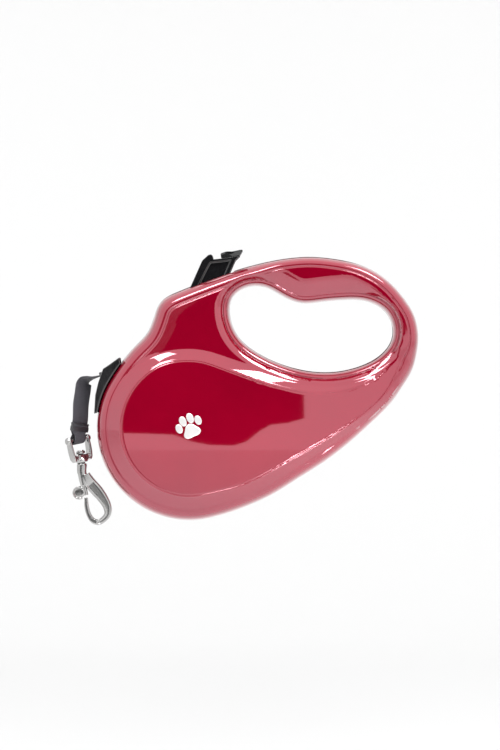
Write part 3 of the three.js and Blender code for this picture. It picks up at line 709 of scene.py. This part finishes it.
def boss(skin, x, z, side):
    """A screw boss; the back shell's has the well that the screw's head lies in."""
    around = (x, z) + BOSS_R * np.array([(math.cos(a), math.sin(a)) for a in np.linspace(0, 6, 12)])
    level = float(surface(np.array([(x, z)]))[0][0])
    low_level = min(level, float(surface(around)[0].min()))
    profile = [(BORE_R, BOSS_FOOT), (BOSS_R, BOSS_FOOT), (BOSS_R, low_level - 1.2)]
    if side > 0:
        profile = [(SCREW_R, level), (SCREW_R, HEAD_SEAT), (BORE_R, HEAD_SEAT)] + profile
    else:
        profile = [(0.001, 8), (BORE_R, 8)] + profile
    turned_rings(skin, x, z, [(r, side * v) for r, v in profile])


def shell(side, name, node):
    """One half of the housing; side is -1 for the front and 1 for the back."""
    circles = []
    if side > 0:
        circles = [np.array(arc(SCREW_R, 0, 345, 23)) + centre for centre in BOSSES]
    flat, tris = flat_mesh(circles)
    y, normal = surface(flat)
    flip = np.array([1, side, 1])
    outer = np.column_stack([flat[:, 0], y, flat[:, 1]])
    inner = outer - normal * WALL
    inner[:, 1] = np.maximum(inner[:, 1], GAP / 2)
    count = len(outer)
    skin = Skin()
    both = np.vstack([outer, inner]) * flip
    normals = np.vstack([normal, -normal]) * flip
    front = tris if side < 0 else tris[:, ::-1]
    faces = front.tolist() + (front[:, ::-1] + count).tolist()
    skin.add(both.tolist(), faces, normals.tolist())
    for a, b in boundary(front):
        skin.add([both[b], both[a], both[a + count], both[b + count]], [(0, 1, 2, 3)])
    if side < 0:
        for loop in (OUTLINE.offset(TONGUE_IN), HOLE.offset(-TONGUE_IN)):
            tongue(skin, loop)
    for x, z in BOSSES:
        boss(skin, x, z, side)
    seat = 14.2 if side > 0 else 8.2
    axle_boss = [(0.001, 16.8), (4.3, 16.8), (4.3, seat), (6.4, seat), (6.4, 16.2)]
    turned_rings(skin, 0, 0, [(r, side * v) for r, v in axle_boss], 32)
    mesh = new_mesh(name, [row(*v) for v in skin.verts], skin.faces)
    made = finished(name, mesh, "housing", "shell_red", RED, node)
    made.data.normals_split_custom_set([n for face in skin.normals for n in face])


shell(-1, "front_case", "front_shell")
shell(1, "back_case", "back_shell")


# ---- moulded and cast pieces
def raw(verts, faces):
    """An unplaced mesh object in millimetres, used only while a piece is made."""
    return shown("raw", new_mesh("raw", [Vector(v) for v in verts], faces))


def outward(obj):
    """Turns every face of the mesh outwards."""
    bm = bmesh.new()
    bm.from_mesh(obj.data)
    bmesh.ops.recalc_face_normals(bm, faces=bm.faces)
    bm.to_mesh(obj.data)
    bm.free()


def applied(obj, *modifiers):
    """The mesh that obj has with these modifiers; obj is used up."""
    for kind, settings in modifiers:
        modifier = obj.modifiers.new(kind, kind)
        for key, value in settings.items():
            setattr(modifier, key, value)
    graph = bpy.context.evaluated_depsgraph_get()
    mesh = bpy.data.meshes.new_from_object(obj.evaluated_get(graph))
    bpy.data.objects.remove(obj)
    return mesh


def piece(name, mesh, body, slot, look, sharp=None):
    """Places a mesh made in drawing millimetres. It replaces the CAD node of its name, if there is one."""
    replaced = [name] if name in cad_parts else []
    mesh.transform(Matrix.Translation(row(0, 0, 0)) @ Matrix.Scale(MM, 4))
    mesh.name = name + "_visual" if replaced else name
    made = finished(mesh.name, mesh, body, slot, look, *replaced)
    if sharp:
        mesh.set_sharp_from_angle(angle=math.radians(sharp))
    return made


def prism(outline, low, high, frame_of=None):
    """A closed prism on an outline of (a, b) pairs; frame_of turns (a, depth, b) into a point."""
    place = frame_of or (lambda a, depth, b: Vector((a, depth, b)))
    n = len(outline)
    verts = [place(a, low, b) for a, b in outline] + [place(a, high, b) for a, b in outline]
    faces = [tuple(range(n)), tuple(range(2 * n - 1, n - 1, -1))]
    faces += [(i, n + i, n + (i + 1) % n, (i + 1) % n) for i in range(n)]
    obj = raw(verts, faces)
    outward(obj)
    return obj


def rounded_corners(outline, radius, steps=4):
    """The outline with each corner rounded by about the radius."""
    made = []
    n = len(outline)
    for i in range(n):
        p, q, r = (Vector(outline[(i + k) % n]) for k in (-1, 0, 1))
        reach = [min(radius, (e - q).length * 0.45) for e in (p, r)]
        a, b = q + (p - q).normalized() * reach[0], q + (r - q).normalized() * reach[1]
        for t in np.linspace(0, 1, steps + 1):
            made.append(tuple(a * (1 - t) ** 2 + q * 2 * t * (1 - t) + b * t * t))
    return made


def bevel(width, angle, segments):
    """Rounds the edges that turn by more than the angle."""
    return ("BEVEL", {"width": width, "limit_method": "ANGLE", "angle_limit": math.radians(angle),
                      "segments": segments})


def less(obj, cutters, before=(), after=()):
    """The mesh of obj with the cutters cut out, between two lots of modifiers; all are used up."""
    steps = [("BOOLEAN", {"object": c, "operation": "DIFFERENCE", "solver": "EXACT"}) for c in cutters]
    mesh = applied(obj, *before, *steps, *after)
    for cutter in cutters:
        bpy.data.objects.remove(cutter)
    return mesh


def fused(solids, cutters, voxel, smooth):
    """The mesh of overlapping closed solids joined, less the cutters, with softened corners."""
    verts, faces = [], []
    for solid in solids:
        faces += [tuple(len(verts) + i for i in p.vertices) for p in solid.data.polygons]
        verts += [v.co.copy() for v in solid.data.vertices]
    obj = raw(verts, faces)
    for solid in [obj] + cutters:
        outward(solid)
    for solid in solids:
        bpy.data.objects.remove(solid)
    remesh = [("REMESH", {"mode": "VOXEL", "voxel_size": voxel})]
    again = remesh if cutters else []
    return less(obj, cutters, remesh, again + [("SMOOTH", {"factor": 0.5, "iterations": smooth})])


def along_brake(point, distance, across=0.0):
    """The point moved along the button's travel, and across it."""
    moved = Vector(point) + BRAKE * distance + Vector((-BRAKE.y, BRAKE.x)) * across
    return tuple(moved)


BUTTON_LEFT, BUTTON_RIGHT = (1.2, 74.6), (21.8, 82)
BUTTON_HALF, FLANK = 7.0, 1.5       # half thickness, and how far its flanks are sunk


def brake_button():
    """Two posts with a thumb dish between them, and sunken flanks."""
    low_left, low_right = along_brake(BUTTON_LEFT, 5.5), along_brake(BUTTON_RIGHT, 9.5)
    core = [low_left, low_right, BUTTON_RIGHT, (23.7, 86.4), (26.2, 88.7), (19.5, 87.7), (12.4, 86.9),
            (9.6, 88.6), (6.4, 86.3), BUTTON_LEFT]
    left_post = [low_left, along_brake((5.4, 75.9), 5.5), (9.3, 83.2), (10.6, 85.4), (12.4, 86.8),
                 (11.9, 88.9), (10.9, 89.6), (9.6, 89.2), (6.4, 86.3), BUTTON_LEFT]
    right_post = [along_brake((19.2, 81.0), 8.0), low_right, BUTTON_RIGHT, (23.7, 86.4), (26.4, 88.9),
                  (22.6, 88.3), (21.4, 86.6)]
    dish = [(10.6, 85.4), (16, 85.9), (23.2, 86.9), (26.4, 88.9), (19.5, 87.75), (12.2, 86.9)]
    parts = [(core, BUTTON_HALF - FLANK)] + [(bar, BUTTON_HALF) for bar in (left_post, right_post, dish)]
    solids = [prism(rounded_corners(outline, 0.6, 3), -half, half) for outline, half in parts]
    piece("brake_button", fused(solids, [], 0.2, 4), "button", "trim_black", BLACK)


def brake_lock():
    """The sliding lock, with finger grooves across its top."""
    outline = [(16.2, 87.52), (26.2, 88.96), (27.6, 91.8), (26.6, 92.0), (21.8, 91), (19.2, 91.1),
               (15.9, 90.1)]
    lock = prism(rounded_corners(outline, 0.8, 3), -5.5, 5.5)
    grooves = [prism([(x, 90.2), (x + 0.5, 90.2), (x + 0.5, 93), (x, 93)], -4.2, 4.2)
               for x in (17.4, 18.7, 20.0, 21.3, 22.6)]
    mesh = less(lock, grooves, after=[bevel(0.3, 38, 2)])
    piece("brake_lock", mesh, "lock", "trim_black", BLACK, 60)


NOZZLE_HALF, NOZZLE_SEAT = 8.6, 0.4     # half thickness, and how far it is let into the drum's rim


def nozzle():
    """A wedge on the drum's rolled rim, with a lipped slot for the tape."""
    ring = OUTLINE.offset(NOZZLE_SEAT)
    angle = np.degrees(np.arctan2(ring[:, 1], ring[:, 0])) % 360
    seat = [tuple(p) for p, a in zip(ring, angle) if 136.8 < a < 171.3 and np.hypot(*p) < 56]
    seat.sort(key=lambda p: p[1])
    outline = [(-36.4, 36.2), (-38.6, 34.6), (-41.6, 32.4), (-44.9, 30.2), (-47.4, 23.0), (-48.9, 16.6),
               (-49.5, 6.8)] + seat
    ahead, above = Vector((RUN.x, 0, RUN.y)), Vector((-RUN.y, 0, RUN.x))

    def at_mouth(a, depth, b):
        return Vector((MOUTH.x, 0, MOUTH.y)) + ahead * depth + above * a + Vector((0, b, 0))

    lip_edge = rounded_corners([(-1.7, -6.6), (1.7, -6.6), (1.7, 6.6), (-1.7, 6.6)], 1.2)
    lip = prism(lip_edge, -4.2, 0.1, at_mouth)
    slot_box = prism([(-0.9, -5.4), (0.9, -5.4), (0.9, 5.4), (-0.9, 5.4)], -20, 20, at_mouth)
    mesh = fused([prism(outline, -NOZZLE_HALF, NOZZLE_HALF), lip], [slot_box], 0.25, 5)
    piece("nozzle", mesh, "housing", "trim_black", BLACK)


def tape_clamp():
    """The clamp on the tape's end: a lipped band with a groove."""
    half = [(1.0, CLAMP_LOW), (1.2, 4.7), (1.3, 5.7), (1.2, 6.6), (0.85, 6.9), (0.85, 7.7), (1.15, 7.9),
            (1.1, CLAMP_TOP)]
    clamp = prism(half + [(-a, b) for a, b in half[::-1]], -5.1, 5.1,
                  lambda a, depth, b: PIN + OUT * a + CLAMP_ACROSS * depth + UP * b)
    piece("tape_clamp", applied(clamp, bevel(0.35, 50, 3)), "leash_end", "clamp_black", CLAMP, 40)


brake_button()
brake_lock()
nozzle()
tape_clamp()


# ---- snap hook, in its own axes: the eye's bar is the origin and Z points up the hook
def sweep(path, sizes, round_power=2.0, sides=20):
    """A closed bar along path; sizes are its half widths in the path's plane and out of it."""
    verts = []
    n = len(path)
    out = Vector((0, 1, 0))
    for i, p in enumerate(path):
        along = (Vector(path[min(i + 1, n - 1)]) - Vector(path[max(i - 1, 0)])).normalized()
        across = along.cross(out).normalized()
        for k in range(sides):
            a = 2 * math.pi * k / sides
            c, d = math.cos(a), math.sin(a)
            size = (abs(c) ** round_power + abs(d) ** round_power) ** (-1 / round_power)
            verts.append(Vector(p) + across * (sizes[i][0] * c * size) + out * (sizes[i][1] * d * size))
    return verts, tube_faces(n, sides)


def rod(radius, low, high, x=0.0):
    return sweep([(x, 0, low), (x, 0, high)], [(radius, radius)] * 2, sides=24)


def block(wide, deep, high, x, y, z, power=5.0):
    return sweep([(x, y, z - high / 2), (x, y, z + high / 2)], [(wide / 2, deep / 2)] * 2, power, 28)


def cast(name, parts, holes, across, voxel, body):
    """One nickel-plated casting; across is where its own X axis points."""
    mesh = fused([raw(v, f) for v, f in parts], [raw(v, f) for v, f in holes], voxel, 3)
    out = HOOK_UP.cross(across).normalized()
    mesh.transform(Matrix.Translation(PIN) @ Matrix((across, out, HOOK_UP)).transposed().to_4x4())
    piece(name, mesh, body, "nickel", NICKEL)


BOLT_X, BOLT_TIP, BOLT_TOP = -1.4, -29.2, -20.0
BOLT_R, BOLT_BORE, BOLT_TRAVEL = 1.15, 1.5, 6.0     # the last is the spring's room above the bolt


def swivel_eye():
    """Two plates that hold the bar, on a base with a bore for the hook's neck."""
    parts = [sweep([(-6.6, 0, 0), (6.6, 0, 0)], [(1.25, 1.25)] * 2)]
    for side in (-1, 1):
        parts.append(sweep([(side * 6.7 - 0.5, 0, 0), (side * 6.7 + 0.5, 0, 0)], [(1.7, 1.7)] * 2))
        plate = [(4.6, -11.2), (5.2, -9.6), (5.6, -6.5), (5.75, -3), (5.85, 0), (5.95, 1.9)]
        widths = [(0.9, 1.6), (1.0, 2.2), (0.8, 2.4), (0.8, 2.2), (0.8, 1.9), (0.6, 1.2)]
        parts.append(sweep([(side * x, 0, z) for x, z in plate], widths, 3.4))
    parts.append(block(10.0, 4.4, 2.6, 0, 0, -9.3))
    base = [(0, 0, -12.1), (0, 0, -11.0), (0, 0, -9)]
    parts.append(sweep(base, [(3.0, 3.0), (3.6, 3.3), (4.2, 2.2)], sides=28))
    windows = [block(1.9, 1.6, 1.7, x, y, -9.2, 8.0) for x in (-3.1, 3.1) for y in (-2.3, 2.3)]
    cast("swivel_eye", parts, [rod(1.85, -13, -7)] + windows, BAR, 0.2, "hook_eye")


# the hook's own line: x, z, half width in its plane and half thickness
HOOK_ROWS = [(0.2, -18.6, 2.5, 2.5), (1.0, -21.2, 2.8, 2.3), (2.4, -24.4, 3.1, 1.9), (4.5, -28, 3.1, 1.75),
             (6.8, -32.6, 2.7, 1.7), (8.2, -37.4, 2.2, 1.7), (7.6, -41.0, 1.8, 1.7), (5.0, -43.3, 1.6, 1.7),
             (2.2, -44.2, 1.5, 1.7), (-0.5, -42.9, 1.4, 1.65), (-2.0, -39.4, 1.3, 1.6),
             (-2.3, -35, 1.2, 1.5), (-1.75, -30.4, 1.0, 1.3)]


def snap_hook():
    """The hook and its barrel in one casting, with sunken faces and the bolt's bore and slot."""
    rows = smooth_line(HOOK_ROWS, 4)
    barrel = [(-1.4, 0, -24.2), (-1.4, 0, -20), (-1.2, 0, -16.5), (-0.5, 0, -13.4), (-0.3, 0, -12.5)]
    parts = [sweep([(x, 0, z) for x, z, _, _ in rows], [(a, b) for _, _, a, b in rows], 4.5, 28),
             sweep(barrel, [(r, r) for r in (2.15, 2.4, 2.5, 2.7, 2.4)], 2.6, 28),
             rod(1.45, -13.5, -5.9), rod(2.5, -7.5, -6.3), rod(1.9, -6.6, -5.7)]
    face = [r for r in rows if r[1] < -23 and r[0] > 1.0]
    holes = [rod(BOLT_BORE, BOLT_TIP, -13.4, BOLT_X), block(4.6, 2.5, 7.6, -4.4, 0, -21.3, 8.0)]
    holes += [sweep([(x, y, z) for x, z, _, _ in face], [(a - 0.85, 0.45) for _, _, a, _ in face], 5.0, 24)
              for y in (-1.78, 1.78)]
    cast("snap_hook", parts, holes, SIDE, 0.17, "hook_body")


def snap_bolt():
    """The sprung bolt with its rimmed thumb knob."""
    x, z = -4.75, -27.3
    rim = [(x + a, 0, z + b) for a, b in arc(3.0, 62, 290, 19)]
    plate = [(x + t, 0, z) for t in (-2.9, -1.5, 0, 1.2, 2.0, 3.2)]
    parts = [rod(BOLT_R, BOLT_TIP, BOLT_TOP, BOLT_X), sweep(rim, [(0.55, 1.25)] * len(rim), 2.4),
             sweep(plate, [(0.8, 0.55), (2.3, 0.6), (2.8, 0.6), (2.6, 0.6), (2.0, 0.7), (1.2, 0.8)], 2.4)]
    cast("snap_bolt", parts, [], SIDE, 0.16, "hook_bolt")


swivel_eye()
snap_hook()
snap_bolt()


# ---- return springs
def coil(name, radius, wire, turns, foot, rise):
    """A round-wire spring that rises from its foot along rise."""
    up = rise.normalized()
    across = up.cross(Vector((0, 1, 0))).normalized()
    out = up.cross(across)
    verts = []
    steps, sides = turns * 20, 8
    for i in range(steps + 1):
        a = 2 * math.pi * turns * i / steps
        radial = across * math.cos(a) + out * math.sin(a)
        centre = foot + up * (wire + (rise.length - 2 * wire) * i / steps) + radial * radius
        for k in range(sides):
            b = 2 * math.pi * k / sides
            verts.append(centre + radial * (wire * math.cos(b)) + up * (wire * math.sin(b)))
    obj = raw(verts, tube_faces(steps + 1, sides))
    outward(obj)
    made = piece(name, applied(obj), None, "steel", STEEL)
    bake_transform(made)


foot_x, foot_z = along_brake((13.4, 75.2), 17.7, -7.4)
coil("button_spring", 2.5, 0.45, 4, Vector((foot_x, 0, foot_z)), Vector((BRAKE.x, 0, BRAKE.y)) * -7.2)
bolt_end = BOLT_TOP + GAP + BOLT_TRAVEL
coil("bolt_spring", 0.9, 0.22, 5, PIN + SIDE * BOLT_X + HOOK_UP * bolt_end, HOOK_UP * -BOLT_TRAVEL)


# ---- screws with a cross recess
THREAD_R, ROOT_R, THREAD_PITCH = 1.2, 0.95, 0.5


def screw(name, x, z, seat, tip, side, body):
    """Pan head, cross recess and threaded shank; seat and tip are depths along the screw's own side."""
    profile = [(0.01, tip), (0.9, tip + 0.8)]
    for y in np.arange(tip + 1.0, seat - 0.5, THREAD_PITCH):
        profile += [(THREAD_R, y), (ROOT_R, y + THREAD_PITCH / 2)]
    profile += [(THREAD_R, seat - 0.2), (THREAD_R, seat)]
    profile += [(r, seat + up) for r, up in ((2.45, 0), (2.5, 0.5), (2.35, 1.2), (1.7, 1.7), (0.01, 1.8))]
    sides = 24
    verts = [(r * math.cos(a), y, r * math.sin(a)) for r, y in profile for a in full_turn(sides)]
    obj = raw(verts, tube_faces(len(profile), sides))
    outward(obj)
    arms = [prism([(-a, -b), (a, -b), (a, b), (-a, b)], seat + 0.7, seat + 3)
            for a, b in ((1.5, 0.28), (0.28, 1.5))]
    mesh = less(obj, arms)
    turn = Matrix.Rotation(0.4 + x * 0.37, 4, "Y")
    if side < 0:
        turn = Matrix.Rotation(math.pi, 4, "X") @ turn
    mesh.transform(Matrix.Translation((x, 0, z)) @ turn)
    piece(name, mesh, body, "steel", STEEL, 32)


for number, (x, z) in enumerate(BOSSES, 1):
    screw(f"housing_screw_{number}", x, z, 5.3, -7.5, 1, "housing")
for number, (x, z) in enumerate(arc(12.6, 30, 270, 2), 1):
    screw(f"flange_screw_{number}", x, z, 7.2, -2, -1, "reel")


# ---- a plain paw print in silver foil on the front panel
PAW_TILT, PAW_CENTRE = math.radians(25), (0.5, -0.5)
FOIL_THICK, FOIL_LIFT = 0.07, 0.05
PADS = [(0, -1.6, 4.3, 3.5, 0.16), (-5.3, 2.2, 1.75, 2.5, 0), (-2.0, 4.9, 1.8, 2.7, 0),
        (2.1, 4.9, 1.8, 2.7, 0), (5.4, 2.2, 1.75, 2.5, 0)]      # centre, half sizes and lobes


def paw():
    """Each pad is a fan of rings that lies on the panel."""
    c, s = math.cos(PAW_TILT), math.sin(PAW_TILT)
    verts, faces = [], []
    rings, steps = 5, 36
    for pad_x, pad_z, wide, high, lobes in PADS:
        base = len(verts)
        flat = [(pad_x, pad_z)]
        for r in range(1, rings + 1):
            for t in full_turn(steps):
                reach = r / rings * (1 + lobes * math.cos(3 * (t - math.pi / 2)))
                flat.append((pad_x + wide * reach * math.cos(t), pad_z + high * reach * math.sin(t)))
        tilted = np.array([(x * c - z * s, x * s + z * c) for x, z in flat]) + PAW_CENTRE
        verts += [(x, -(y + FOIL_LIFT), z) for (x, z), y in zip(tilted, surface(tilted)[0])]
        faces += [(base, base + 1 + k, base + 1 + (k + 1) % steps) for k in range(steps)]
        for r in range(rings - 1):
            for k in range(steps):
                p, q = base + 1 + r * steps + k, base + 1 + r * steps + (k + 1) % steps
                faces.append((p, p + steps, q + steps, q))
    foil = applied(raw(verts, faces), ("SOLIDIFY", {"thickness": FOIL_THICK, "offset": 0.0}))
    piece("paw_print", foil, "housing", "nickel", FOIL)


paw()


# ---- finishes on the carried-over CAD nodes
def wound_look():
    """Edges of the wound layers: one ridge per layer of tape."""
    look = Look("wound_tape", (0.02, 0.02, 0.024), 0.85, Sheen_Weight=0.2)
    from_axle = look.node("ShaderNodeVectorMath", {0: look.place(), 1: row(0, 0, 0)}, operation="SUBTRACT")
    parts = look.node("ShaderNodeSeparateXYZ", {"Vector": from_axle.outputs[0]}).outputs
    squares = [look.math("POWER", parts[axis], 2) for axis in "XZ"]
    radius = look.math("SQRT", look.math("ADD", *squares))
    layer = look.wave(look.math("MULTIPLY", radius, math.pi / (TAPE_THICK * MM)))
    look.use("Base Color", look.mix(layer, (0.004, 0.004, 0.005, 1), (0.03, 0.03, 0.036, 1)))
    look.bump(layer, 0.8, 0.2 * MM)
    look.bump(look.noise(1500), 0.4, 0.05 * MM)
    return look


FINISHES = {"reel_drum": REEL, "reel_flange": REEL, "wound_tape": wound_look(), "spring_cup": NYLON,
            "brake_plunger": NYLON, "thrust_washer_front": NYLON, "thrust_washer_back": NYLON}
for name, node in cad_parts.items():
    node.data.materials.clear()
    node.data.materials.append(FINISHES.get(name, STEEL).material)

# ---- floor and light, in metres
FLOOR_Z = -0.42         # below the longest hanging leash
FLOOR_HALF, FLOOR_BACK, CURVE_R = 8.0, 2.4, 1.2


def stage_mesh(name, verts, faces, look):
    obj = smooth_shown(name, new_mesh(name, verts, faces), look)
    return obj


def floor():
    """A pale floor that curves up into a wall behind the object."""
    curve = [(FLOOR_BACK + CURVE_R * math.sin(a), CURVE_R * (1 - math.cos(a)))
             for a in np.radians(range(6, 91, 6))]
    side = [(-FLOOR_HALF, 0), (FLOOR_BACK, 0)] + curve + [(FLOOR_BACK + CURVE_R, 5)]
    verts = [(x, y, FLOOR_Z + z) for y, z in side for x in (-FLOOR_HALF, FLOOR_HALF)]
    faces = [(i, i + 1, i + 3, i + 2) for i in range(0, 2 * len(side) - 2, 2)]
    stage_mesh("floor", verts, faces, Look("floor", (0.8, 0.8, 0.8), 0.6))


floor()
FLAG_EDGE = [(0.27, 1.0), (0.27, 0.05), (0.21, 0.015), (0.13, 0.0), (0.08, -0.05), (0.03, -0.13),
             (-0.01, -0.16), (-0.07, -0.155), (-0.10, -0.13), (-0.13, -0.075), (-0.19, -0.065),
             (-0.53, -0.05), (-0.53, 1.0)]
FLAG_AWAY = 2.6


def flag(name, y, edge, tone):
    """A card that only reflections see, to shade what a flat face mirrors."""
    look = Look(name, (tone, tone, tone), 1.0, Specular_IOR_Level=0.0)
    card = stage_mesh(name, [(x, y, z) for x, z in edge], [tuple(range(len(edge)))], look)
    card.visible_camera = card.visible_diffuse = card.visible_shadow = card.visible_transmission = False


flag("flag_front", -FLAG_AWAY, FLAG_EDGE, 0.001)
flag("flag_back", FLAG_AWAY, FLAG_EDGE, 0.001)
flag("flag_hook", -1.0, [(-0.6, -0.4), (-0.146, -0.4), (-0.146, 0.2), (-0.6, 0.2)], 0.12)

world = bpy.data.worlds.new("studio")
bpy.context.scene.world = world
world.use_nodes = True
background = world.node_tree.nodes["Background"].inputs
background["Color"].default_value = (1, 1, 1, 1)
background["Strength"].default_value = 1.25


def area(name, place, target, wide, high, power, spread=180):
    """A softbox turned towards target."""
    data = bpy.data.lights.new(name, "AREA")
    data.shape, data.size, data.size_y, data.energy = "RECTANGLE", wide, high, power
    data.spread = math.radians(spread)
    lamp = shown(name, data)
    lamp.location = place
    lamp.rotation_euler = (Vector(target) - Vector(place)).to_track_quat("-Z", "Y").to_euler()
    lamp.visible_camera = False


AIM_ROW = (-0.03, 0, -0.06)
area("key", (0.62, -0.42, 1.15), AIM_ROW, 0.62, 0.42, 15)
area("fill", (-0.43, -0.86, 1.0), AIM_ROW, 0.34, 0.34, 5)
area("under_edge", (0.05, -0.1, -0.154), (0.005, -0.018, -0.09), 0.2, 0.03, 0.012, 34)
bpy.context.scene.view_settings.view_transform = "Standard"
